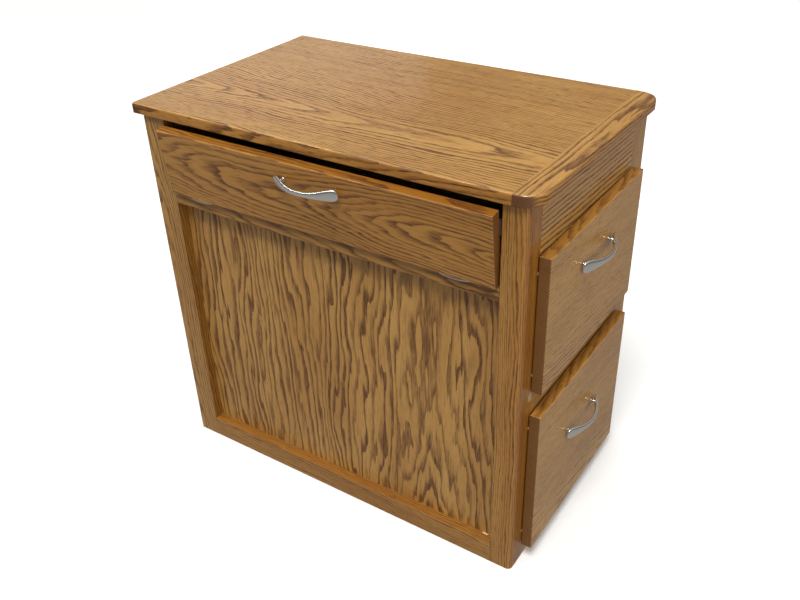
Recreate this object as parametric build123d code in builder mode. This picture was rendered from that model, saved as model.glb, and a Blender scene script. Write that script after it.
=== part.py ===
from build123d import *
from math import asin, cos, degrees, radians, sin
import os

# An oak book drop box: a tilt-out flap under the top takes returned books,
# a ramp guides them into the upper side drawer, and a second drawer lies below.
# Millimetres. X runs along the front towards the drawer side, Y towards the
# back, Z up. The origin is the middle of the cabinet's footprint on the floor.

# Cabinet
body_width = 731.0
body_depth = 440.0
body_height = 695.0
board = 19.0
side_frame = 21.0
ply = 6.0
edge_ease = 0.6

# Top
top_thickness = 19.0
top_side_overhang = 15.5
top_front_overhang = 8.0
top_rear_overhang = 16.0
top_corner_radius = 34.0
top_left_radius = 4.0
top_edge_radius = 4.5
top_under_radius = 2.0
end_band_width = 39.0

# Front frame
left_stile_width = 48.0
left_corner_radius = 3.0
right_stile_width = 19.0
post_depth = 42.0
post_corner_radius = 9.0
bottom_rail_height = 43.0
mid_rail_height = 23.0
panel_lap = 11.0
slot_height = 12.2

# Side frame and the two drawers
rear_stile_width = 54.0
front_overlap_y = 6.0
front_overlap_z = 10.0
front_ease = 1.8
lower_opening_height = 269.0
side_mid_rail_height = 65.0
side_apron_height = 99.0
box_board = 12.0
box_rear_gap = 73.5
box_floor_rise = 10.0
box_lift = 6.0
box_headroom = 43.0
bumper_height = 1.4
bumper_gap = 0.1
bumper_radius = 2.5
bumper_from_end = 30.0

# Drawer slides, three nested channels on each side
slide_short = 40.0
slide_space = 12.7
slide_set_back = 5.5
slide_sheet = 1.2
slide_axis_height = 45.0
slide_height = 45.0
slide_middle_height = 38.4
slide_inner_height = 31.0
slide_clear = 0.6
cleat_height = 60.0
cleat_far = 19.0

# Flap and its hinges
flap_height = 122.2
flap_side_gap = 3.0
flap_rest_tilt = 7.0
flap_open_tilt = 40.0
flap_ease = 1.5
flap_proud = 7.0
hinge_width = 50.0
hinge_from_centre = 251.0
hinge_leaf = 1.2
hinge_leaf_short = 0.5
hinge_half_gap = 0.1
hinge_lip_reach = 4.0
knuckle_radius = 3.0
knuckle_count = 5
knuckle_gap = 0.2
pin_radius = 1.5
pin_clear = 0.05
barrel_clear = 0.3
screw_radius = 1.5
screw_head_radius = 2.7
screw_length = 12.0
screw_pitch = 30.0
screw_from_leaf_end = 4.0

# Quadrant stays that hold the flap from falling open
stay_radius = 95.0
stay_width = 8.0
stay_thickness = 2.5
stay_inset = 9.0
stay_foot = (16.0, 2.5, 26.0)
stay_lug_width = 20.0
stay_lug_angle = 6.0
stay_root = 1.0
keeper_thickness = 3.0
keeper_height = 32.0
keeper_lap = 12.0
keeper_margin = 7.0
keeper_clear = 0.8

# Pulls
pull_centres = 96.0
pull_end_reach = 14.5
pull_end_half = 10.5
pull_neck_half = 4.5
pull_waist_half = 6.3
pull_rise = 28.0
pull_end_rise = 6.5
pull_thickness = 5.0
pull_post_radius = 4.2
pull_screw_radius = 2.0
pull_screw_depth = 9.0
pull_screw_clear = 0.05
pull_hole_clear = 0.3
pull_head_radius = 4.0
pull_head_height = 2.5
flap_pull_height = 93.0
side_pull_forward = 8.0
upper_pull_drop = 67.5
lower_pull_drop = 111.0

# Chute and corner blocks
ramp_reach = 66.0
ramp_fall = 19.4
ramp_thickness = 9.0
ramp_clear = 4.0
block_leg = 25.0
block_height = 20.0

# How far a cut runs past the face it opens
cut_spare = 1.0

# Places worked out from the sizes above
left = -body_width / 2
right = body_width / 2
front = -body_depth / 2
back = body_depth / 2
frame_back = front + board
panel_back = frame_back + ply
inner_left = left + board
inner_right = right - side_frame
inner_back = back - ply
opening_left = left + left_stile_width
opening_right = inner_right - right_stile_width
near_edge = front + post_depth
far_edge = back - rear_stile_width
flap_sill_height = body_height - slot_height - flap_height - 2 * hinge_half_gap
hinge_y = front
hinge_z = flap_sill_height + hinge_half_gap
hinge_leaf_depth = board - flap_proud - hinge_leaf_short
screw_from_axis = hinge_leaf_depth - screw_from_leaf_end
flap_centre = (opening_left + opening_right) / 2
flap_half = (opening_right - opening_left) / 2 - flap_side_gap
flap_face = -flap_proud
ramp_low = flap_sill_height - ramp_fall
lower_opening = (bottom_rail_height, bottom_rail_height + lower_opening_height)
upper_opening = (lower_opening[1] + side_mid_rail_height, body_height - side_apron_height)
front_inner_x = right + bumper_height + bumper_gap
front_outer_x = front_inner_x + board
box_length = front_inner_x - inner_left - box_rear_gap
slide_length = box_length - slide_short
pull_length = pull_centres + 2 * pull_end_reach

os.makedirs("parts", exist_ok=True)


def save(piece, name):
    piece.part.label = name
    export_step(piece.part, f"parts/{name}.step")


def middle(limits):
    return (limits[0] + limits[1]) / 2


def size(limits):
    return limits[1] - limits[0]


def tilted(tilt):
    """The flap's own plane at a tilt: X along the hinge, Y into its thickness, Z up its face."""
    lean = radians(tilt)
    return Plane(origin=(0, hinge_y, hinge_z), x_dir=(1, 0, 0), z_dir=(0, -sin(lean), cos(lean)))


def straight_board(name, x, y, z, ease=0.0, along=None):
    """A plain board that fills three ranges, with its arrises eased along one axis or all."""
    with BuildPart() as piece:
        with BuildSketch(Plane.XY.offset(z[0])):
            with Locations((middle(x), middle(y))):
                Rectangle(size(x), size(y))
        extrude(amount=size(z))
        if ease:
            edges = piece.edges().filter_by(along) if along else piece.edges()
            fillet(edges, ease)
    save(piece, name)


# ---------------------------------------------------------------- top

def top_half(name, keep):
    """The top is one rounded outline, cut where the end band is glued on."""
    x = (left - top_side_overhang, right + top_side_overhang)
    y = (front - top_front_overhang, back + top_rear_overhang)
    joint = Plane.YZ.offset(x[1] - end_band_width)
    with BuildPart() as slab:
        with BuildSketch(Plane.XY.offset(body_height)) as outline:
            with Locations((middle(x), middle(y))):
                Rectangle(size(x), size(y))
            fillet(outline.vertices().group_by(Axis.X)[-1], top_corner_radius)
            fillet(outline.vertices().group_by(Axis.X)[0], top_left_radius)
        extrude(amount=top_thickness)
        fillet(slab.faces().sort_by(Axis.Z)[-1].edges(), top_edge_radius)
        fillet(slab.faces().sort_by(Axis.Z)[0].edges(), top_under_radius)
        split(bisect_by=joint, keep=keep)
    save(slab, name)


top_half("top_panel", Keep.BOTTOM)
top_half("top_end_band", Keep.TOP)


# ---------------------------------------------------------------- front frame

def left_stile():
    with BuildPart() as stile:
        with BuildSketch() as section:
            with Locations((left + left_stile_width / 2, front + board / 2)):
                Rectangle(left_stile_width, board)
            corner = section.vertices().group_by(Axis.X)[0].sort_by(Axis.Y)[0]
            fillet(corner, left_corner_radius)
        extrude(amount=body_height)
        inner_arris = stile.edges().filter_by(Axis.Z).group_by(Axis.X)[-1].sort_by(Axis.Y)[0]
        fillet(inner_arris, edge_ease)
    save(stile, "front_left_stile")


def corner_post():
    with BuildPart() as post:
        with BuildSketch() as section:
            with Locations((right - side_frame / 2, front + post_depth / 2)):
                Rectangle(side_frame, post_depth)
            corner = section.vertices().group_by(Axis.X)[-1].sort_by(Axis.Y)[0]
            fillet(corner, post_corner_radius)
        extrude(amount=body_height)
        joint_arris = post.edges().filter_by(Axis.Z).group_by(Axis.X)[0].sort_by(Axis.Y)[0]
        fillet(joint_arris, edge_ease)
    save(post, "corner_post")


def mid_rail():
    """The sill that carries the flap, mortised for the fixed hinge leaves and their barrels."""
    with BuildPart() as rail:
        with BuildSketch(Plane.XY.offset(flap_sill_height - mid_rail_height)):
            with Locations((flap_centre, front + board / 2)):
                Rectangle(opening_right - opening_left, board)
        extrude(amount=mid_rail_height)
        fillet(rail.edges().filter_by(Axis.X), edge_ease)
        mortise_depth = hinge_leaf_depth + hinge_half_gap
        with BuildSketch(Plane.XY.offset(flap_sill_height)):
            with Locations(*[(x, front + mortise_depth / 2) for x in hinge_centres()]):
                Rectangle(hinge_width + 2 * hinge_half_gap, mortise_depth)
        extrude(amount=-hinge_leaf, mode=Mode.SUBTRACT)
        for centre in hinge_centres():
            with BuildSketch(Plane(origin=(centre, hinge_y, hinge_z), z_dir=(1, 0, 0))):
                Circle(knuckle_radius + barrel_clear)
            extrude(amount=hinge_width / 2 + barrel_clear, both=True, mode=Mode.SUBTRACT)
        with Locations(*leaf_screw_spots(tilted(0), -hinge_half_gap)):
            Hole(radius=screw_radius + pin_clear, depth=screw_length + hinge_half_gap)
    save(rail, "front_mid_rail")


def hinge_centres():
    return [flap_centre - hinge_from_centre, flap_centre + hinge_from_centre]


def leaf_screw_spots(plane, height):
    """Screw head centres on a pair of leaves, as locations whose Z leaves the wood."""
    spots = []
    turn = 0 if height < 0 else 180
    for centre in hinge_centres():
        for offset in (-screw_pitch / 2, screw_pitch / 2):
            spot = plane * Location((centre + offset, screw_from_axis, height), (turn, 0, 0))
            spots.append(spot)
    return spots


left_stile()
corner_post()
mid_rail()
straight_board("front_right_stile", (opening_right, inner_right), (front, frame_back),
               (0, body_height), edge_ease, Axis.Z)
straight_board("front_bottom_rail", (opening_left, opening_right), (front, frame_back),
               (0, bottom_rail_height), edge_ease, Axis.X)
straight_board("front_panel", (inner_left, inner_right), (frame_back, panel_back),
               (board, flap_sill_height - mid_rail_height + panel_lap))

# ---------------------------------------------------------------- side frame, back and floor

straight_board("left_side_panel", (left, inner_left), (frame_back, back), (0, body_height),
               edge_ease, Axis.Z)
straight_board("side_rear_stile", (inner_right, right), (far_edge, back), (0, body_height),
               edge_ease, Axis.Z)
straight_board("side_apron", (inner_right, right), (near_edge, far_edge),
               (upper_opening[1], body_height), edge_ease, Axis.Y)
straight_board("side_mid_rail", (inner_right, right), (near_edge, far_edge),
               (lower_opening[1], upper_opening[0]), edge_ease, Axis.Y)
straight_board("side_bottom_rail", (inner_right, right), (near_edge, far_edge),
               (0, lower_opening[0]), edge_ease, Axis.Y)
straight_board("bottom_panel", (inner_left, inner_right), (frame_back, inner_back), (0, board))
straight_board("back_panel", (inner_left, inner_right), (inner_back, back), (0, body_height))


def chute_ramp():
    """Carries a book from the sill over the drawer's near side, clear of the box below."""
    far = frame_back + ramp_reach
    with BuildPart() as ramp:
        with BuildSketch(Plane.YZ.offset(inner_left)):
            with BuildLine():
                Polyline((frame_back, flap_sill_height), (far, ramp_low), (far, ramp_low - ramp_thickness),
                         (frame_back, flap_sill_height - ramp_thickness), close=True)
            make_face()
        extrude(amount=inner_right - inner_left)
    save(ramp, "chute_ramp")


def keeper_slot():
    """The lowest and highest points of the slots that the stays slide through."""
    outer = stay_radius + stay_width / 2
    inner = stay_radius - stay_width / 2
    reach = frame_back + keeper_thickness - hinge_y
    slot_high = hinge_z + (outer ** 2 - (frame_back - hinge_y) ** 2) ** 0.5 + keeper_clear
    slot_low = hinge_z + (inner ** 2 - reach ** 2) ** 0.5 - keeper_clear
    return slot_low, slot_high


def corner_blocks():
    """Glue blocks under the top. The front pair moves behind the keepers where those reach up to it."""
    under = body_height - block_height
    keeper_top = middle(keeper_slot()) + keeper_height / 2
    start = frame_back if keeper_top < under else frame_back + keeper_thickness + keeper_clear
    with BuildPart() as blocks:
        for x, way_x in ((inner_left, 1), (inner_right, -1)):
            for y, way_y in ((start, 1), (inner_back, -1)):
                with BuildSketch(Plane.XY.offset(under)):
                    with BuildLine():
                        Polyline((x, y), (x + way_x * block_leg, y), (x, y + way_y * block_leg),
                                 close=True)
                    make_face()
                extrude(amount=block_height)
    save(blocks, "corner_blocks")


chute_ramp()
corner_blocks()


# ---------------------------------------------------------------- hinges

def hinge_leaf_part(name, plane, centre, side):
    """One leaf with its share of the knuckles. Side is -1 for the sill's leaf, 1 for the flap's,
    which also runs forward under the flap and ends in a curved lip."""
    face = side * hinge_half_gap
    pitch = hinge_width / knuckle_count
    first = 0 if side < 0 else 1
    begin = knuckle_radius + barrel_clear
    ways = (1,) if side < 0 else (1, -1)
    with BuildPart() as leaf:
        with BuildSketch(plane.offset(face)):
            with Locations((centre, (begin + hinge_leaf_depth) / 2)):
                Rectangle(hinge_width, hinge_leaf_depth - begin)
            for way in ways:
                for index in range(first, knuckle_count, 2):
                    with Locations((centre - hinge_width / 2 + pitch * (index + 0.5), way * begin / 2)):
                        Rectangle(pitch - knuckle_gap, begin)
            if side > 0:
                with BuildLine():
                    lip = ThreePointArc((centre - hinge_width / 2, flap_face),
                                        (centre, flap_face - hinge_lip_reach),
                                        (centre + hinge_width / 2, flap_face))
                    Polyline(lip @ 0, (centre - hinge_width / 2, -begin), (centre + hinge_width / 2, -begin),
                             lip @ 1)
                make_face()
        extrude(amount=side * hinge_leaf)
        for index in range(first, knuckle_count, 2):
            start = centre - hinge_width / 2 + pitch * index + knuckle_gap / 2
            with BuildSketch(Plane(origin=plane.from_local_coords((start, 0, 0)), z_dir=(1, 0, 0))):
                Circle(knuckle_radius)
            extrude(amount=pitch - knuckle_gap)
        with BuildSketch(Plane(origin=plane.from_local_coords((centre, 0, 0)), z_dir=(1, 0, 0))):
            Circle(pin_radius + pin_clear)
        extrude(amount=hinge_width / 2 + cut_spare, both=True, mode=Mode.SUBTRACT)
        spots = leaf_screw_spots(plane, face)
        half = len(spots) // 2
        own = spots[:half] if centre < flap_centre else spots[half:]
        with Locations(*own):
            CounterSinkHole(screw_radius + pin_clear, screw_head_radius + pin_clear,
                            depth=hinge_leaf + cut_spare)
    save(leaf, name)


def leaf_screws(name, plane, side):
    spots = leaf_screw_spots(plane, side * hinge_half_gap)
    head = screw_head_radius - screw_radius
    with BuildPart() as screws:
        with Locations(*spots):
            Cylinder(screw_radius, screw_length, align=(Align.CENTER, Align.CENTER, Align.MAX))
            Cone(screw_radius, screw_head_radius, head,
                 align=(Align.CENTER, Align.CENTER, Align.MAX))
    save(screws, name)


def hinge_pins():
    with BuildPart() as pins:
        for centre in hinge_centres():
            with BuildSketch(Plane(origin=(centre, hinge_y, hinge_z), z_dir=(1, 0, 0))):
                Circle(pin_radius)
            extrude(amount=hinge_width / 2, both=True)
    save(pins, "hinge_pins")


sill_plane = tilted(0)
flap_plane = tilted(flap_rest_tilt)
for word, centre in zip(("left", "right"), hinge_centres()):
    hinge_leaf_part(f"{word}_hinge_sill_leaf", sill_plane, centre, -1)
    hinge_leaf_part(f"{word}_hinge_flap_leaf", flap_plane, centre, 1)
leaf_screws("sill_leaf_screws", sill_plane, -1)
leaf_screws("flap_leaf_screws", flap_plane, 1)
hinge_pins()


# ---------------------------------------------------------------- pulls

def pull_post_height():
    """The posts end halfway through the bar that bows over them."""
    sag = pull_rise - pull_end_rise
    bend = ((pull_length / 2) ** 2 + sag ** 2) / (2 * sag)
    return pull_rise - bend + (bend ** 2 - (pull_centres / 2) ** 2) ** 0.5 - pull_thickness / 2


def pull(name, face):
    """A bow pull on a board's face: its X runs along the pull and its Z leaves the board."""
    half = pull_length / 2
    cap = half - pull_end_half
    side = Plane(origin=face.origin, x_dir=face.x_dir, z_dir=-face.y_dir)
    inner_end = pull_end_rise - pull_thickness
    inner_top = pull_rise - pull_thickness
    with BuildPart() as bow:
        with BuildSketch(side):
            with BuildLine():
                outer = ThreePointArc((-half, pull_end_rise), (0, pull_rise), (half, pull_end_rise))
                inner = ThreePointArc((-half, inner_end), (0, inner_top), (half, inner_end))
                Line(outer @ 0, inner @ 0)
                Line(outer @ 1, inner @ 1)
            make_face()
        extrude(amount=2 * pull_end_half, both=True)
        with BuildSketch(face):
            with BuildLine():
                waist = Spline((-cap, pull_end_half), (-cap / 2, pull_waist_half), (0, pull_neck_half),
                               (cap / 2, pull_waist_half), (cap, pull_end_half),
                               tangents=((1, 0), (1, 0)))
                other_waist = mirror(waist, about=Plane.XZ)
                ThreePointArc(waist @ 0, (-half, 0), other_waist @ 0)
                ThreePointArc(waist @ 1, (half, 0), other_waist @ 1)
            make_face()
        extrude(amount=pull_rise + cut_spare, mode=Mode.INTERSECT)
        with BuildSketch(face):
            with GridLocations(pull_centres, 0, 2, 1):
                Circle(pull_post_radius)
        extrude(amount=pull_post_height())
        with BuildSketch(face):
            with GridLocations(pull_centres, 0, 2, 1):
                Circle(pull_screw_radius + pull_screw_clear)
        extrude(amount=pull_screw_depth + cut_spare, mode=Mode.SUBTRACT)
    save(bow, name)


def pull_screws(name, face, wood):
    """Two machine screws through the wood from behind, into the pull's posts."""
    with BuildPart() as screws:
        with BuildSketch(face.offset(-wood)):
            with GridLocations(pull_centres, 0, 2, 1):
                Circle(pull_screw_radius)
        extrude(amount=wood + pull_screw_depth)
        with BuildSketch(face.offset(-wood)):
            with GridLocations(pull_centres, 0, 2, 1):
                Circle(pull_head_radius)
        extrude(amount=-pull_head_height)
    save(screws, name)


def pull_hole_spots(face):
    """Where a pull's two clearance holes start, as locations whose Z leaves the board."""
    return [face * Location((along, 0, 0)) for along in (-pull_centres / 2, pull_centres / 2)]


# ---------------------------------------------------------------- flap

flap_pull_face = Plane(origin=flap_plane.from_local_coords((flap_centre, flap_face, flap_pull_height)),
                       x_dir=(1, 0, 0), z_dir=-flap_plane.y_dir)


def flap_board():
    with BuildPart() as flap:
        with BuildSketch(flap_plane.offset(hinge_half_gap)):
            with Locations((flap_centre, flap_face + board / 2)):
                Rectangle(2 * flap_half, board)
        extrude(amount=flap_height)
        fillet(flap.edges(), flap_ease)
        mortise = (flap_face, hinge_leaf_depth + hinge_half_gap)
        with BuildSketch(flap_plane.offset(hinge_half_gap - cut_spare)):
            with Locations(*[(x, middle(mortise)) for x in hinge_centres()]):
                Rectangle(hinge_width + 2 * hinge_half_gap, size(mortise))
        extrude(amount=hinge_leaf + cut_spare, mode=Mode.SUBTRACT)
        for centre in hinge_centres():
            origin = flap_plane.from_local_coords((centre, 0, 0))
            with BuildSketch(Plane(origin=origin, z_dir=(1, 0, 0))):
                Circle(knuckle_radius + barrel_clear)
            extrude(amount=hinge_width / 2 + barrel_clear, both=True, mode=Mode.SUBTRACT)
        with Locations(*leaf_screw_spots(flap_plane, hinge_half_gap)):
            Hole(radius=screw_radius + pin_clear, depth=screw_length + hinge_half_gap)
        with Locations(*pull_hole_spots(flap_pull_face)):
            Hole(radius=pull_screw_radius + pull_hole_clear, depth=board + cut_spare)
    save(flap, "flap_board")


def stay_limits():
    """Angles from the flap's face, at the hinge, where the arm leaves the flap and meets its lug."""
    start = degrees(asin((flap_face + board) / stay_radius))
    keeper_y = frame_back + keeper_thickness
    keeper = degrees(asin((keeper_y + keeper_clear - hinge_y) / (stay_radius - stay_lug_width / 2)))
    return start, keeper + flap_open_tilt


def stay_point(radius, angle):
    lean = radians(angle)
    return (radius * sin(lean), radius * cos(lean))


def quadrant_stay(name, x):
    """A flat curved arm centred on the hinge, with a foot on the flap and a stop lug on its end."""
    start, stop = stay_limits()
    inside = flap_face + board
    plane = Plane(origin=flap_plane.from_local_coords((x - stay_thickness / 2, 0, 0)),
                  x_dir=flap_plane.y_dir, z_dir=(1, 0, 0))
    foot_z = stay_radius * cos(radians(start))
    with BuildPart() as stay:
        with BuildSketch(plane):
            for half, begin, end in ((stay_width / 2, start + stay_root, stop + stay_root),
                                     (stay_lug_width / 2, stop, stop + stay_lug_angle)):
                with BuildLine():
                    mid = (begin + end) / 2
                    outer = ThreePointArc(*[stay_point(stay_radius + half, a) for a in (begin, mid, end)])
                    inner = ThreePointArc(*[stay_point(stay_radius - half, a) for a in (begin, mid, end)])
                    Line(outer @ 0, inner @ 0)
                    Line(outer @ 1, inner @ 1)
                make_face()
        extrude(amount=stay_thickness)
        with BuildSketch(flap_plane.offset(foot_z - stay_foot[2] / 2)):
            with Locations((x, inside + stay_foot[1] / 2)):
                Rectangle(stay_foot[0], stay_foot[1])
        extrude(amount=stay_foot[2])
    save(stay, name)


def stay_keeper(name, x, edge, way):
    """A slotted plate behind the stile. The arm slides through it and the lug stops on it."""
    plate = sorted((x - way * keeper_margin, edge + way * keeper_lap))
    slot = keeper_slot()
    with BuildPart() as keeper:
        with BuildSketch(Plane.XZ.offset(-frame_back)):
            with Locations((middle(plate), middle(slot))):
                Rectangle(size(plate), keeper_height)
            with Locations((x, middle(slot))):
                Rectangle(stay_thickness + 2 * keeper_clear, size(slot), mode=Mode.SUBTRACT)
        extrude(amount=-keeper_thickness)
    save(keeper, name)


flap_board()
pull("flap_pull", flap_pull_face)
pull_screws("flap_pull_screws", flap_pull_face, board)
for word, edge, way in (("left", opening_left, -1), ("right", opening_right, 1)):
    stay_x = edge - way * stay_inset
    quadrant_stay(f"{word}_quadrant_stay", stay_x)
    stay_keeper(f"{word}_stay_keeper", stay_x, edge, way)


# ---------------------------------------------------------------- drawers

def slide_sections(member):
    """Channel heights and depths across the slide, from the cabinet face towards the box."""
    gap = slide_sheet + slide_clear
    if member == "cabinet":
        return slide_height, 0.0, slide_space - slide_sheet - slide_clear
    if member == "middle":
        return slide_middle_height, gap, slide_space - slide_sheet - slide_clear
    return slide_inner_height, slide_space, gap + slide_sheet + slide_clear


def slide_members(name, member, height):
    """The near and far channels of one kind. Their webs face the part that carries them."""
    tall, web, lip = slide_sections(member)
    way = 1 if lip > web else -1
    x = (right - slide_set_back - slide_length, right - slide_set_back)
    with BuildPart() as channels:
        for face, turn in ((near_edge, 1), (far_edge, -1)):
            with BuildSketch(Plane.YZ.offset(x[0])):
                with Locations((face + turn * (web + lip) / 2, height)):
                    Rectangle(abs(lip - web), tall)
                with Locations((face + turn * (web + lip + way * slide_sheet) / 2, height)):
                    Rectangle(abs(lip - web) - slide_sheet, tall - 2 * slide_sheet,
                              mode=Mode.SUBTRACT)
            extrude(amount=slide_length)
    save(channels, name)


def drawer_front(name, y, z, pull_face):
    with BuildPart() as panel:
        with BuildSketch(Plane.XY.offset(z[0])):
            with Locations((front_inner_x + board / 2, middle(y))):
                Rectangle(board, size(y))
        extrude(amount=size(z))
        fillet(panel.edges(), front_ease)
        with Locations(*pull_hole_spots(pull_face)):
            Hole(radius=pull_screw_radius + pull_hole_clear, depth=board + cut_spare)
    save(panel, name)


def inner_front(name, y, z, pull_face):
    """The box's own front. The pull's screws pass through it where the pull is that low."""
    low_enough = pull_face.origin.Z + pull_head_radius < z[1]
    with BuildPart() as panel:
        with BuildSketch(Plane.XY.offset(z[0])):
            with Locations((front_inner_x - box_board / 2, middle(y))):
                Rectangle(box_board, size(y))
        extrude(amount=size(z))
        if low_enough:
            with Locations(*pull_hole_spots(pull_face)):
                Hole(radius=pull_screw_radius + pull_hole_clear,
                     depth=board + box_board + cut_spare)
    save(panel, name)
    return low_enough


def bumpers(name, y, z):
    """Four soft dots behind a drawer front that meet the face frame."""
    spots = [(across, up) for across in (y[0] + front_overlap_y / 2, y[1] - front_overlap_y / 2)
             for up in (z[0] + bumper_from_end, z[1] - bumper_from_end)]
    with BuildPart() as dots:
        with BuildSketch(Plane.YZ.offset(front_inner_x)):
            with Locations(*spots):
                Circle(bumper_radius)
        extrude(amount=-bumper_height)
    save(dots, name)


def drawer(word, opening, box_top, pull_drop):
    face_y = (near_edge - front_overlap_y, far_edge + front_overlap_y)
    face_z = (opening[0] - front_overlap_z, opening[1] + front_overlap_z)
    box_y = (near_edge + slide_space, far_edge - slide_space)
    inside_y = (box_y[0] + box_board, box_y[1] - box_board)
    box_x = (front_inner_x - box_length, front_inner_x)
    inside_x = (box_x[0] + box_board, box_x[1] - box_board)
    box_z = (opening[0] + box_lift, box_top)
    floor_z = box_z[0] + box_floor_rise
    pull_face = Plane(origin=(front_outer_x, middle(face_y) - side_pull_forward, face_z[1] - pull_drop),
                      x_dir=(0, 1, 0), z_dir=(1, 0, 0))
    drawer_front(f"{word}_drawer_front", face_y, face_z, pull_face)
    through = inner_front(f"{word}_inner_front", inside_y, box_z, pull_face)
    straight_board(f"{word}_near_side", box_x, (box_y[0], inside_y[0]), box_z)
    straight_board(f"{word}_far_side", box_x, (inside_y[1], box_y[1]), box_z)
    straight_board(f"{word}_box_back", (box_x[0], inside_x[0]), inside_y, box_z)
    straight_board(f"{word}_box_floor", inside_x, inside_y, (floor_z, floor_z + ply))
    bumpers(f"{word}_bumpers", face_y, face_z)
    pull(f"{word}_pull", pull_face)
    pull_screws(f"{word}_pull_screws", pull_face, board + box_board if through else board)
    slide_z = box_z[0] + slide_axis_height
    for member in ("cabinet", "middle", "drawer"):
        slide_members(f"{word}_{member}_slides", member, slide_z)
    cleat_z = (slide_z - cleat_height / 2, slide_z + cleat_height / 2)
    straight_board(f"{word}_near_cleat", (inner_left, inner_right), (panel_back, near_edge), cleat_z)
    straight_board(f"{word}_far_cleat", (inner_left, inner_right), (far_edge, far_edge + cleat_far),
                   cleat_z)


drawer("upper", upper_opening, ramp_low - ramp_thickness - ramp_clear, upper_pull_drop)
drawer("lower", lower_opening, lower_opening[1] - box_headroom, lower_pull_drop)
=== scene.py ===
import bpy
import bmesh
from math import cos, pi, radians, sin
from mathutils import Euler, Matrix, Vector


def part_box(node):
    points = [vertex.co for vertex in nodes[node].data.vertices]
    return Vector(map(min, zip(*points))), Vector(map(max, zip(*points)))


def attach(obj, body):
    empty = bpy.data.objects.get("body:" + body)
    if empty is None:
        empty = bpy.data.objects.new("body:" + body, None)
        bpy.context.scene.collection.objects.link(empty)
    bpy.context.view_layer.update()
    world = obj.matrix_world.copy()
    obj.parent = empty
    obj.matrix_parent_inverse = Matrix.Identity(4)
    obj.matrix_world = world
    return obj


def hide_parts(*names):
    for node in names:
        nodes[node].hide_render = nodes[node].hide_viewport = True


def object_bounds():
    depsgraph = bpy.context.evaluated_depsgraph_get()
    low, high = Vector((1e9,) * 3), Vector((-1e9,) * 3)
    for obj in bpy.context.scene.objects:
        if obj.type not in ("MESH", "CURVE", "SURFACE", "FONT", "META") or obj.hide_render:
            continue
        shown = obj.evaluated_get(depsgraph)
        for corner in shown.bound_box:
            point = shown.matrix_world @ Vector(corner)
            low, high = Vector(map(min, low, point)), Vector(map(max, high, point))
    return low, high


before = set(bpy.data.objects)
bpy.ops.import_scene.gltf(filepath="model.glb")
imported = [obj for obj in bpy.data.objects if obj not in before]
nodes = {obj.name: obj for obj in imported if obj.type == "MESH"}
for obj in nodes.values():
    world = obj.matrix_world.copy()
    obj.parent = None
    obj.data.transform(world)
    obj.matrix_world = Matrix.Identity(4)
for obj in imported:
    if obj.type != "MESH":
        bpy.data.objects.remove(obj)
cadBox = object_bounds()
print("frame loaded:", len(nodes), "nodes")


# a socket of a shader tree, so that mask sums read as plain maths
class Signal:
    def __init__(self, finish, socket):
        self.finish = finish
        self.socket = socket

    def __add__(self, other):
        return self.finish.maths("ADD", self, other)

    def __radd__(self, other):
        return self.finish.maths("ADD", other, self)

    def __sub__(self, other):
        return self.finish.maths("SUBTRACT", self, other)

    def __rsub__(self, other):
        return self.finish.maths("SUBTRACT", other, self)

    def __mul__(self, other):
        return self.finish.maths("MULTIPLY", self, other)

    def __rmul__(self, other):
        return self.finish.maths("MULTIPLY", other, self)

    def __truediv__(self, other):
        return self.finish.maths("DIVIDE", self, other)

    def __rtruediv__(self, other):
        return self.finish.maths("DIVIDE", other, self)

    def __pow__(self, other):
        return self.finish.maths("POWER", self, other)

    def __rpow__(self, other):
        return self.finish.maths("POWER", other, self)


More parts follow.
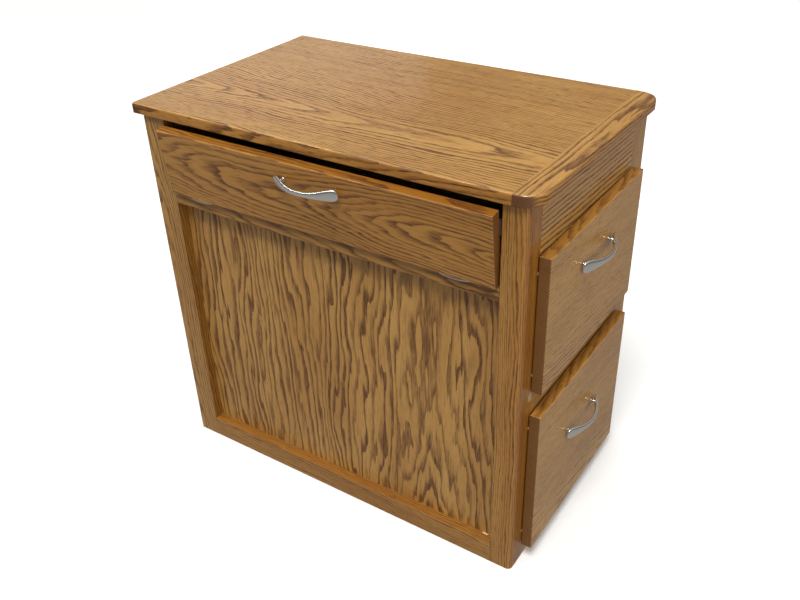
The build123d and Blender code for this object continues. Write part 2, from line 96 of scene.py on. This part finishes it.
# one node tree, a material's or the room's; every node of it is made by add()
class Finish:
    def __init__(self, name, owner=None, shader="Principled BSDF", **sockets):
        self.material = owner or bpy.data.materials.new(name)
        self.material.use_nodes = True
        self.tree = self.material.node_tree
        self.shader = self.tree.nodes[shader]
        for key, value in sockets.items():
            self.feed(key.replace("_", " "), value)

    def add(self, kind, settings, sockets, output=0):
        node = self.tree.nodes.new(kind)
        for key, value in settings.items():
            if key == "stops":
                self.setStops(node.color_ramp, value)
            else:
                setattr(node, key, value)
        for key, value in sockets.items():
            self.plug(node.inputs[key], value)
        return Signal(self, node.outputs[output])

    def setStops(self, ramp, stops):
        while len(ramp.elements) < len(stops):
            ramp.elements.new(0.5)
        for element, (position, colour) in zip(ramp.elements, stops):
            element.position = position
            element.color = (*colour, 1)

    def plug(self, socket, value):
        if isinstance(value, Signal):
            self.tree.links.new(value.socket, socket)
        else:
            socket.default_value = value

    def feed(self, name, value):
        if isinstance(value, tuple) and len(value) == 3:
            value = (*value, 1)
        self.plug(self.shader.inputs[name], value)

    def maths(self, operation, first, second=0.0, clamp=False):
        settings = {"operation": operation, "use_clamp": clamp}
        return self.add("ShaderNodeMath", settings, {0: first, 1: second})

    def clamp(self, value):
        return self.maths("ADD", value, 0.0, clamp=True)

    def step(self, value, low, high):
        settings = {"interpolation_type": "SMOOTHSTEP"}
        return self.add("ShaderNodeMapRange", settings, {"Value": value, "From Min": low, "From Max": high})

    def vector(self, x, y, z):
        return self.add("ShaderNodeCombineXYZ", {}, {0: x, 1: y, 2: z})

    def noise(self, vector, detail=2.0, scale=1.0):
        return self.add("ShaderNodeTexNoise", {}, {"Vector": vector, "Scale": scale, "Detail": detail})

    def mix(self, factor, first, second, blend="MIX"):
        first = (*first, 1) if isinstance(first, tuple) else first
        second = (*second, 1) if isinstance(second, tuple) else second
        settings = {"data_type": "RGBA", "blend_type": blend}
        return self.add("ShaderNodeMix", settings, {0: factor, 6: first, 7: second}, 2)

    def bump(self, height, distance, strength):
        return self.add("ShaderNodeBump", {}, {"Height": height, "Distance": distance, "Strength": strength})

    def place(self):
        # the object's own x, y and z in metres
        where = self.add("ShaderNodeTexCoord", {}, {}, 3)
        return [self.add("ShaderNodeSeparateXYZ", {}, {0: where}, i) for i in range(3)]


# stained oak, one set of values for every board
oak = {
    "light": (0.43, 0.213, 0.05),
    "honey": (0.52, 0.283, 0.077),
    "early": (0.165, 0.066, 0.018),
    "pore": (0.075, 0.028, 0.009),
    "endGrain": (0.115, 0.042, 0.012),
    "edge": (0.76, 0.61, 0.3),
    "edgeStain": 0.8,
    "roughness": 0.36,
    "gloss": 0.32,
    "coat": 0.36,
    "arrisCoat": 0.64,
    "coatRoughness": 0.13,
    "poreDepth": 0.00025,  # metres
}
# how fine each noise is: cycles per metre along the grain and across it
figure = {
    "slow": (2.4, 7.0),
    "slower": (1.7, 5.0),
    "fine": (9.0, 42.0),
    "ragged": (16.0, 190.0),
    "patch": (11.0, 95.0),
    "dash": (52.0, 1150.0),
    "hair": (20.0, 620.0),
    "cloud": (3.0, 11.0),
}
# one year's growth, from the dark early wood to the pale late wood
yearBand = [(0.0, 0.55), (0.06, 1.0), (0.26, 0.72), (0.5, 0.16), (0.72, 0.0), (1.0, 0.08)]
# small marks: bare wood chips, pale scuffs and darker patches; the chip colour also paints two highlights on
# the top band's corner
wear = {
    "chip_and_glint": (0.78, 0.66, 0.48),
    "scuff": (0.56, 0.43, 0.26),
    "dark_patch": (0.2, 0.14, 0.08),
    "raggedness": 420.0,  # cycles per metre
}
axisNumber = {"x": 0, "y": 1, "z": 2}


def spot(finish, place, centre, size):
    # 1 at a small mark on the wood, fading to 0 at its ragged rim
    x, y, z = [(axis - middle) / half for axis, middle, half in zip(place, centre, size)]
    distance = (x * x + y * y + z * z) ** 0.5
    ragged = finish.noise(finish.vector(*place), scale=wear["raggedness"])
    return 1.0 - finish.step(distance + ragged * 1.1 - 0.55, 0.7, 1.0)


def grainNoise(finish, where, name, shift, detail, coarse=1.0, across=0.0, inward=0.0):
    # noise drawn out along the grain, moved by shift so that no two boards are alike
    u, v, w = where
    lengthwise, crosswise = [rate / coarse for rate in figure[name]]
    stretched = finish.vector(u * lengthwise + shift, v * crosswise + across, w * crosswise + inward)
    return finish.noise(stretched, detail)


def earlyWood(finish, where, seed, pith, lean, ring, wander, ripple, jag, coarse, contrast):
    # the tree's rings as the board cuts them: 1 in dark early wood, 0 in pale late wood
    u, v, w = where
    slow = grainNoise(finish, where, "slow", seed, 1.5)
    slower = grainNoise(finish, where, "slower", -seed, 1.0, across=3.7)
    fine = grainNoise(finish, where, "fine", seed, 2.0, coarse)
    ragged = grainNoise(finish, where, "ragged", seed, 2.5, coarse)
    sideways = v - pith[0] + u * lean[0] + (slow - 0.5) * (2 * wander)
    inward = w - pith[1] + u * lean[1] + (slower - 0.5) * (2 * wander)
    radius = (sideways * sideways + inward * inward) ** 0.5
    turns = (radius + (fine - 0.5) * (2 * ripple) + (ragged - 0.5) * (2 * jag)) / ring
    year = finish.add("ShaderNodeTexWhiteNoise", {"noise_dimensions": "1D"},
                      {"W": finish.maths("FLOOR", turns) + seed})
    stops = [(position, (shade,) * 3) for position, shade in yearBand]
    band = finish.add("ShaderNodeValToRGB", {"stops": stops}, {0: finish.maths("FRACT", turns)})
    # some years and some patches are darker than others
    patch = grainNoise(finish, where, "patch", -seed, 2.0)
    return finish.clamp(band * (year * 0.55 + 0.5) * (patch * 1.5 + 0.25) * contrast)


def oakColour(finish, early, pore, streak, cloud, toneAndLight, warm):
    # the stain over pale wood, streaks, early wood and pores; on the top boards and the mid rail the stain's
    # tone also paints light and shade
    stainAndLight = (toneAndLight, toneAndLight * (1 - 0.08 * warm), toneAndLight * (1 - 0.24 * warm))
    light, honey, dark = [tuple(c * s for c, s in zip(oak[key], stainAndLight))
                          for key in ("light", "honey", "early")]
    colour = finish.mix(finish.step(cloud, 0.3, 0.7), light, honey)
    colour = finish.mix(streak * 0.3, colour, tuple(c * 0.62 for c in light))
    colour = finish.mix(early * (0.72 + streak * 0.28), colour, dark)
    return finish.mix(pore * 0.75, colour, oak["pore"])


def oakFinish(name, grain, face, pith=(0.0, -0.05), lean=(0.0, 0.04), ring=0.0038, wander=0.012, ripple=0.004,
              jag=0.0016, coarse=1.0, seed=0.0, toneAndLight=1.0, warm=0.0, contrast=1.0, pores=1.0, endStain=0.78,
              marks=(), middle=(0, 0, 0)):
    finish = Finish(name, Coat_Roughness=oak["coatRoughness"], IOR=1.5, Specular_IOR_Level=oak["gloss"])
    place = finish.place()
    along, deep = axisNumber[grain], axisNumber[face]
    across = 3 - along - deep
    where = [place[i] - middle[i] for i in (along, across, deep)]
    early = earlyWood(finish, where, seed, pith, lean, ring, wander, ripple, jag, coarse, contrast)
    # open pores: short dark dashes, thickest in the early wood
    dash = grainNoise(finish, where, "dash", seed, 1.0)
    hair = grainNoise(finish, where, "hair", -seed, 2.0)
    pore = finish.clamp((dash + early * 0.15 - 0.585) * 8.0) * (0.6 + early * 0.4) * pores
    streak = finish.clamp((hair - 0.5) * 2.2 + 0.5)
    cloud = grainNoise(finish, where, "cloud", seed, 3.0, inward=9.0)
    colour = oakColour(finish, early, pore, streak, cloud, toneAndLight, warm)
    # the long edges take the stain warmer and the end grain drinks it
    facing = finish.add("ShaderNodeTexCoord", {}, {}, 1)
    sides = [finish.maths("ABSOLUTE", finish.add("ShaderNodeSeparateXYZ", {}, {0: facing}, i))
             for i in range(3)]
    edge = finish.step(sides[across], 0.5, 0.95)
    colour = finish.mix(edge * oak["edgeStain"], colour, oak["edge"], "MULTIPLY")
    ends = finish.step(sides[along], 0.45, 0.85)
    colour = finish.mix(ends * endStain, colour, oak["endGrain"])
    for centre, size, kind, amount in marks:
        colour = finish.mix(spot(finish, place, centre, size) * amount, colour, wear[kind])
    finish.feed("Base Color", colour)
    finish.feed("Roughness", oak["roughness"] + pore * 0.2 + (cloud - 0.5) * 0.12)
    # varnish gathers on the rounded arrises and shines there
    flat = sides[0] ** 4 + sides[1] ** 4 + sides[2] ** 4
    arris = finish.step(1.0 - flat, 0.12, 0.45)
    coat = oak["coat"] + arris * oak["arrisCoat"] - pore * 0.3 * (1.0 - arris) - ends * 0.15
    finish.feed("Coat Weight", finish.clamp(coat))
    height = 1.0 - pore - early * 0.12 + (hair - 0.5) * 0.1
    finish.feed("Normal", finish.bump(height, oak["poreDepth"], 0.6))
    return finish.material


def dress(node, material):
    mesh = nodes[node].data
    mesh.materials.clear()
    mesh.materials.append(material)


def centreOf(node):
    low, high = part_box(node)
    return tuple((low + high) / 2)


# which way each oak board's grain runs, where its tree's middle lay, and its tone; the tone also paints light
# on the top boards and shade on the mid rail
boards = {
    # the top boards' tone of 1.1 paints light: the lit top is made paler than the upright boards
    "top_panel": dict(
        grain="x", face="z", pith=(-0.11, -0.035), lean=(0.05, 0.05), ring=0.0052, wander=0.03,
        ripple=0.004, seed=1.3, toneAndLight=1.1, contrast=1.1, pores=1.3),
    "top_end_band": dict(
        grain="y", face="z", pith=(0.012, -0.02), lean=(0.02, 0.03), ring=0.0056, wander=0.005,
        seed=4.1, toneAndLight=1.1, contrast=1.2, endStain=0.97,
        # the two chip marks here are painted highlights: pale spots where the lamps glint on the rounded corner
        marks=[((0.361, -0.229, 0.714), (0.0022, 0.0022, 0.004), "chip_and_glint", 0.9),
               ((0.375, -0.219, 0.713), (0.0020, 0.0026, 0.004), "chip_and_glint", 0.9)]),
    "front_left_stile": dict(
        grain="z", face="y", pith=(-0.02, -0.045), lean=(0.01, 0.03), seed=7.7, toneAndLight=0.94),
    "front_right_stile": dict(
        grain="z", face="y", pith=(0.06, 0.02), lean=(0.01, 0.01), ring=0.0032, seed=9.2, toneAndLight=0.94,
        warm=0.9),
    "corner_post": dict(
        grain="z", face="y", pith=(0.05, 0.05), lean=(0.015, 0.01), ring=0.0036, seed=11.9, toneAndLight=0.94,
        warm=1.2,
        marks=[((0.3655, -0.18, 0.356), (0.004, 0.011, 0.011), "scuff", 0.6),
               ((0.3655, -0.191, 0.02), (0.006, 0.012, 0.02), "dark_patch", 0.55)]),
    # the mid rail's low tone of 0.84 paints shade: it is made darker where it lies in the flap's shadow
    "front_mid_rail": dict(
        grain="x", face="y", pith=(0.01, 0.02), lean=(0.03, 0.05), ring=0.006, wander=0.02,
        ripple=0.006, seed=13.1, toneAndLight=0.84, warm=0.8),
    "front_bottom_rail": dict(
        grain="x", face="y", pith=(0.05, 0.05), lean=(0.02, 0.01), ring=0.0034, seed=15.4, toneAndLight=0.9,
        warm=1.1,
        marks=[((0.307, -0.2035, 0.043), (0.007, 0.0018, 0.003), "chip_and_glint", 0.85),
               ((-0.321, -0.2035, 0.043), (0.004, 0.0018, 0.003), "chip_and_glint", 0.85),
               # the two long dark marks are darker strips along the back of the rail's top, against the panel
               ((0.12, -0.2022, 0.043), (0.03, 0.0012, 0.003), "dark_patch", 0.7),
               ((-0.14, -0.2022, 0.043), (0.04, 0.0012, 0.003), "dark_patch", 0.6)]),
    "front_panel": dict(
        grain="z", face="y", pith=(0.19, -0.062), lean=(0.02, 0.15), ring=0.0138, wander=0.05,
        ripple=0.021, jag=0.0075, coarse=1.5, seed=17.6, toneAndLight=1.04, contrast=1.45),
    "left_side_panel": dict(
        grain="z", face="x", pith=(0.04, -0.02), lean=(0.04, 0.05), ring=0.0095, wander=0.045,
        ripple=0.008, jag=0.0028, seed=19.3, toneAndLight=0.95),
    "back_panel": dict(
        grain="z", face="y", pith=(-0.12, 0.02), lean=(0.04, 0.05), ring=0.0105, wander=0.05,
        ripple=0.008, jag=0.0028, seed=21.8, toneAndLight=0.95),
    "bottom_panel": dict(
        grain="x", face="z", pith=(0.05, 0.02), lean=(0.04, 0.05), ring=0.01, wander=0.05, ripple=0.008,
        jag=0.0028, seed=23.3, toneAndLight=0.95),
    "side_apron": dict(
        grain="y", face="x", pith=(-0.09, -0.06), lean=(0.02, 0.02), ring=0.0066, wander=0.006,
        ripple=0.002, seed=25.5, toneAndLight=1.05, contrast=1.2),
    "side_mid_rail": dict(
        grain="y", face="x", pith=(0.05, 0.04), seed=27.2),
    "side_bottom_rail": dict(
        grain="y", face="x", pith=(0.05, 0.04), seed=29.4),
    "side_rear_stile": dict(
        grain="z", face="x", pith=(0.05, 0.04), seed=31.6),
    "flap_board": dict(
        grain="x", face="y", pith=(0.01, 0.035), lean=(0.06, 0.07), ring=0.0058, wander=0.03,
        ripple=0.006, jag=0.002, seed=33.1, toneAndLight=0.98, warm=1.4),
    "upper_drawer_front": dict(
        grain="y", face="x", pith=(-0.16, -0.08), lean=(0.06, 0.05), ring=0.0042, wander=0.012,
        seed=35.7, toneAndLight=1.05, contrast=0.8),
    "lower_drawer_front": dict(
        grain="y", face="x", pith=(-0.15, -0.09), lean=(0.06, 0.04), ring=0.0044, wander=0.012,
        seed=37.9, toneAndLight=1.05, contrast=0.8),
}
for node, values in boards.items():
    dress(node, oakFinish("oak_" + node, middle=centreOf(node), **values))
print("oak boards dressed:", len(boards))


# pale lacquered birch for the boxes, cleats and blocks
birch = {
    "light": (0.69, 0.53, 0.33),
    "dark": (0.55, 0.39, 0.21),
    "fibre": (0.4, 0.27, 0.14),
    "flowRate": (3.0, 40.0),  # cycles per metre along the grain and across it
    "fibreRate": (30.0, 900.0),
    "roughness": 0.42,
    "fibreDepth": 0.0001,  # metres
}


def birchFinish(name, grain, seed):
    finish = Finish(name, Coat_Roughness=0.3, IOR=1.5, Coat_Weight=0.15)
    place = finish.place()
    along = axisNumber[grain]
    u, v, w = [place[i] for i in (along, (along + 1) % 3, (along + 2) % 3)]
    flow, fibre = [finish.noise(finish.vector(u * lengthwise + seed, v * crosswise, w * crosswise), detail)
                   for (lengthwise, crosswise), detail in ((birch["flowRate"], 3.0), (birch["fibreRate"], 2.0))]
    colour = finish.mix(finish.step(flow, 0.35, 0.68), birch["light"], birch["dark"])
    colour = finish.mix(finish.clamp((fibre - 0.5) * 2.0) * 0.35, colour, birch["fibre"])
    finish.feed("Base Color", colour)
    finish.feed("Roughness", birch["roughness"] + (flow - 0.5) * 0.2)
    finish.feed("Normal", finish.bump(fibre, birch["fibreDepth"], 0.5))
    return finish.material


birchAlong = {"near_side": "x", "far_side": "x", "box_floor": "x", "box_back": "y", "inner_front": "y",
              "near_cleat": "x", "far_cleat": "x"}
for word, seed in (("upper", 1.5), ("lower", 5.5)):
    for part, grain in birchAlong.items():
        seed += 0.7
        dress(f"{word}_{part}", birchFinish(f"birch_{word}_{part}", grain, seed))
dress("corner_blocks", birchFinish("birch_corner_blocks", "z", 12.0))
dress("chute_ramp", birchFinish("birch_chute_ramp", "x", 14.0))


# metals: colour, how rough, and how streaky the polish is
metals = {
    "satin_nickel": dict(colour=(0.88, 0.87, 0.84), roughness=0.2, streak=0.06),
    "hinge_steel": dict(colour=(0.72, 0.71, 0.69), roughness=0.24, streak=0.08),
    "plated_steel": dict(colour=(0.4, 0.4, 0.39), roughness=0.38, streak=0.12),
}
metalGrain = {
    "along": 40.0,  # cycles per metre
    "across": 900.0,
    "cloudy": 60.0,
    "depth": 0.00003,  # metres
    "shade": 0.82,  # how dark the dull clouds are beside the bright metal
}


def metalFinish(name, colour, roughness, streak):
    finish = Finish(name, Metallic=1.0)
    x, y, z = finish.place()
    along, across, soft = metalGrain["along"], metalGrain["across"], metalGrain["cloudy"]
    brushed = finish.noise(finish.vector(x * along, y * across, z * across), 2.0)
    cloudy = finish.noise(finish.vector(x * soft, y * soft, z * soft), 3.0)
    shade = tuple(c * metalGrain["shade"] for c in colour)
    finish.feed("Base Color", finish.mix(cloudy * 0.5, colour, shade))
    finish.feed("Roughness", roughness + (brushed - 0.5) * streak + (cloudy - 0.5) * streak)
    finish.feed("Normal", finish.bump(brushed, metalGrain["depth"], 0.3))
    return finish.material


metalOf = {name: metalFinish(name, **values) for name, values in metals.items()}
steelNodes = ["left_stay_keeper", "right_stay_keeper", "left_quadrant_stay", "right_quadrant_stay",
              "sill_leaf_screws", "flap_leaf_screws", "flap_pull_screws", "upper_pull_screws",
              "lower_pull_screws"]
for word in ("upper", "lower"):
    steelNodes += [f"{word}_{member}_slides" for member in ("cabinet", "middle", "drawer")]
for node in steelNodes:
    dress(node, metalOf["plated_steel"])
for node in ("left_hinge_sill_leaf", "right_hinge_sill_leaf", "left_hinge_flap_leaf", "right_hinge_flap_leaf",
             "hinge_pins"):
    dress(node, metalOf["hinge_steel"])

# soft dots behind the drawer fronts
rubber = {
    "colour": (0.3, 0.2, 0.11),
    "grain": 900.0,  # cycles per metre
    "depth": 0.00005,  # metres
}


def rubberFinish():
    finish = Finish("bumper_rubber", Base_Color=rubber["colour"], IOR=1.45, Specular_IOR_Level=0.3)
    grip = finish.noise(finish.add("ShaderNodeTexCoord", {}, {}, 3), 2.0, rubber["grain"])
    finish.feed("Roughness", 0.45 + grip * 0.2)
    finish.feed("Normal", finish.bump(grip, rubber["depth"], 0.4))
    return finish.material


bumper = rubberFinish()
for word in ("upper", "lower"):
    dress(f"{word}_bumpers", bumper)
print("metal, birch and rubber dressed")


# bow pulls with a slim waist and paddle ends; millimetres, from the middle to one end:
# how far along, half the width, half the thickness, and how far the middle of the bar stands off the wood
pull = {
    "stations": [(0, 4.3, 2.7, 25.2), (9, 4.4, 2.7, 24.8), (18, 4.9, 2.8, 23.3), (27, 5.9, 2.9, 20.8),
                 (36, 7.4, 3.1, 17.2), (44, 9.1, 3.4, 13.2), (50, 10.2, 3.6, 10.0), (55, 10.3, 3.6, 7.6),
                 (59, 8.6, 3.0, 6.2), (61.6, 5.6, 2.1, 5.6), (62.4, 2.6, 1.0, 5.4)],
    "ringPoints": 20,
    "postAt": 48.0,
    "postTop": 11.0,
    "postFoot": 5.0,
    "postNeck": 4.2,
    "footHeight": 1.6,
}
millimetre = 0.001


def pullRing(mesh, number):
    # one cross-section of the bar, square to the way it bends
    stations = pull["stations"]
    x, half, thick, height = stations[number]
    before, after = stations[max(number - 1, 0)], stations[min(number + 1, len(stations) - 1)]
    slope = (after[3] - before[3]) / (after[0] - before[0]) if number else 0.0
    turn = Matrix.Rotation(-slope, 4, "Y") @ Matrix.Rotation(pi / 2, 4, "Y")
    shape = Matrix.Translation((x, 0, height)) @ turn @ Matrix.Diagonal((thick, half, 1, 1))
    made = bmesh.ops.create_circle(mesh, segments=pull["ringPoints"], radius=1.0, matrix=shape)
    return list({edge for vert in made["verts"] for edge in vert.link_edges})


def pullMesh(name):
    mesh = bmesh.new()
    rings = [pullRing(mesh, number) for number in range(len(pull["stations"]))]
    for one, other in zip(rings, rings[1:]):
        bmesh.ops.bridge_loops(mesh, edges=one + other)
    bmesh.ops.contextual_create(mesh, geom=rings[-1])
    bmesh.ops.mirror(mesh, geom=mesh.verts[:] + mesh.edges[:] + mesh.faces[:], axis="X", merge_dist=0.01)
    bmesh.ops.remove_doubles(mesh, verts=mesh.verts[:], dist=0.01)
    bmesh.ops.recalc_face_normals(mesh, faces=mesh.faces[:])
    foot, neck, flare = pull["postFoot"], pull["postNeck"], pull["footHeight"]
    for side in (-1, 1):
        for low, high, bottom, top in ((0, flare, foot, neck), (flare, pull["postTop"], neck, neck)):
            middle = Matrix.Translation((side * pull["postAt"], 0, (low + high) / 2))
            bmesh.ops.create_cone(mesh, cap_ends=True, segments=32, radius1=bottom, radius2=top,
                                  depth=high - low, matrix=middle)
    bmesh.ops.scale(mesh, verts=mesh.verts[:], vec=(millimetre,) * 3)
    data = bpy.data.meshes.new(name)
    mesh.to_mesh(data)
    mesh.free()
    return data


def addPull(name, node, body, facing):
    # facing turns the pull's own x, y, z to lie along the board, across it and out of it
    data = pullMesh(name)
    low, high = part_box(node)
    data.transform(facing.to_4x4())
    corner = [Vector(v.co) for v in data.vertices]
    lowest = Vector([min(c[i] for c in corner) for i in range(3)])
    highest = Vector([max(c[i] for c in corner) for i in range(3)])
    data.transform(Matrix.Translation((low + high) / 2 - (lowest + highest) / 2))
    piece = bpy.data.objects.new(name, data)
    bpy.context.scene.collection.objects.link(piece)
    smooth = piece.modifiers.new("smooth", "SUBSURF")
    smooth.levels = smooth.render_levels = 1
    for face in data.polygons:
        face.use_smooth = True
    data.materials.append(metalOf["satin_nickel"])
    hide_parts(node)
    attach(piece, body)


# the flap stands this far open at rest
flapTilt = radians(7.0)
drawerFacing = Matrix(((0, 0, 1), (1, 0, 0), (0, 1, 0)))
flapFacing = Matrix(((1, 0, 0), (0, -sin(flapTilt), -cos(flapTilt)), (0, cos(flapTilt), -sin(flapTilt))))
addPull("flap_bow_pull", "flap_pull", "flap", flapFacing)
addPull("upper_bow_pull", "upper_pull", "upper_drawer", drawerFacing)
addPull("lower_bow_pull", "lower_pull", "lower_drawer", drawerFacing)
print("pulls made")


# studio: a pale floor, a broad light from above, a strip over the front edge, four lamps round
# the cabinet and a soft room; metres, watts and degrees
studio = {
    "floorSize": 60.0,
    "floorColour": (0.9, 0.9, 0.89),
    "backdrop": (0.97, 0.97, 0.97),
    "room": [(0.0, (0.36, 0.35, 0.34)), (0.45, (0.3, 0.29, 0.28)), (0.52, (0.1, 0.098, 0.095)),
             (0.72, (0.2, 0.197, 0.19)), (0.86, (0.62, 0.61, 0.59)), (1.0, (0.8, 0.79, 0.77))],
    "overhead": 2.2,
    "overheadTilt": (24.0, 7.0),
    "overheadSoftness": 22.0,
    "keyPlace": (-1.1, -0.92, 2.0),
    "keyPower": 8.0,
    "keySize": (1.7, 0.1),
    "windowPlace": (-2.6, 2.2, 1.35),
    "windowPower": 5.0,
    "windowSize": (2.2, 1.2),
    "sidePlace": (2.6, -0.5, 1.1),
    "sidePower": 20.5,
    "sideSize": (1.6, 1.6),
    "frontPlace": (1.5, -2.3, 0.9),
    "frontPower": 7.0,
    "frontSize": (1.4, 1.4),
    "rearPlace": (-1.6, 2.4, 0.8),
    "rearPower": 15.0,
    "rearSize": (1.4, 1.4),
    "cameraPlace": (0.80500, -1.16812, 1.20867),
    "cameraTurn": (57.808, 1.647, 33.417),
    "cameraLens": 39.42,
}


def makeFloor():
    mesh = bmesh.new()
    bmesh.ops.create_grid(mesh, x_segments=4, y_segments=4, size=studio["floorSize"] / 2)
    data = bpy.data.meshes.new("floor")
    mesh.to_mesh(data)
    mesh.free()
    floor = bpy.data.objects.new("floor", data)
    bpy.context.scene.collection.objects.link(floor)
    paint = Finish("floor_paint", Base_Color=studio["floorColour"], Roughness=0.9)
    data.materials.append(paint.material)
    # the floor takes light and shadow but throws no glare back at the wood
    floor.visible_diffuse = False
    floor.visible_glossy = False


def makeLight(name, kind, power, **values):
    light = bpy.data.lights.new(name, kind)
    light.energy = power
    for key, value in values.items():
        setattr(light, key, value)
    lamp = bpy.data.objects.new(name, light)
    bpy.context.scene.collection.objects.link(lamp)
    return lamp


def makeStudio():
    world = bpy.data.worlds.new("room")
    bpy.context.scene.world = world
    room = Finish("room", world, "Background")
    up = room.add("ShaderNodeSeparateXYZ", {}, {0: room.add("ShaderNodeTexCoord", {}, {}, 0)}, 2)
    light = room.add("ShaderNodeValToRGB", {"stops": studio["room"]}, {0: up * 0.5 + 0.5})
    seen = room.add("ShaderNodeLightPath", {}, {}, 0)
    room.feed("Color", room.mix(seen, light, studio["backdrop"]))
    overhead = makeLight("overhead", "SUN", studio["overhead"], angle=radians(studio["overheadSoftness"]))
    overhead.rotation_euler = Euler([radians(a) for a in (*studio["overheadTilt"], 0)])
    target = (cadBox[0] + cadBox[1]) / 2
    for name in ("key", "window", "side", "front", "rear"):
        width, height = studio[name + "Size"]
        lamp = makeLight(name, "AREA", studio[name + "Power"], shape="RECTANGLE", size=width, size_y=height)
        lamp.location = studio[name + "Place"]
        # the key is a long strip that faces straight down and glints along the front arrises
        if name != "key":
            lamp.rotation_euler = (target - lamp.location).to_track_quat("-Z", "Y").to_euler()
        # only the key and the window show as highlights
        lamp.visible_glossy = name in ("key", "window")
    camera = bpy.data.cameras.new("camera")
    camera.lens = studio["cameraLens"]
    camera.sensor_width = 36.0
    eye = bpy.data.objects.new("camera", camera)
    eye.location = studio["cameraPlace"]
    eye.rotation_euler = Euler([radians(a) for a in studio["cameraTurn"]])
    bpy.context.scene.collection.objects.link(eye)
    bpy.context.scene.camera = eye
    bpy.context.scene.view_settings.view_transform = "Standard"


makeFloor()
makeStudio()
print("studio ready")
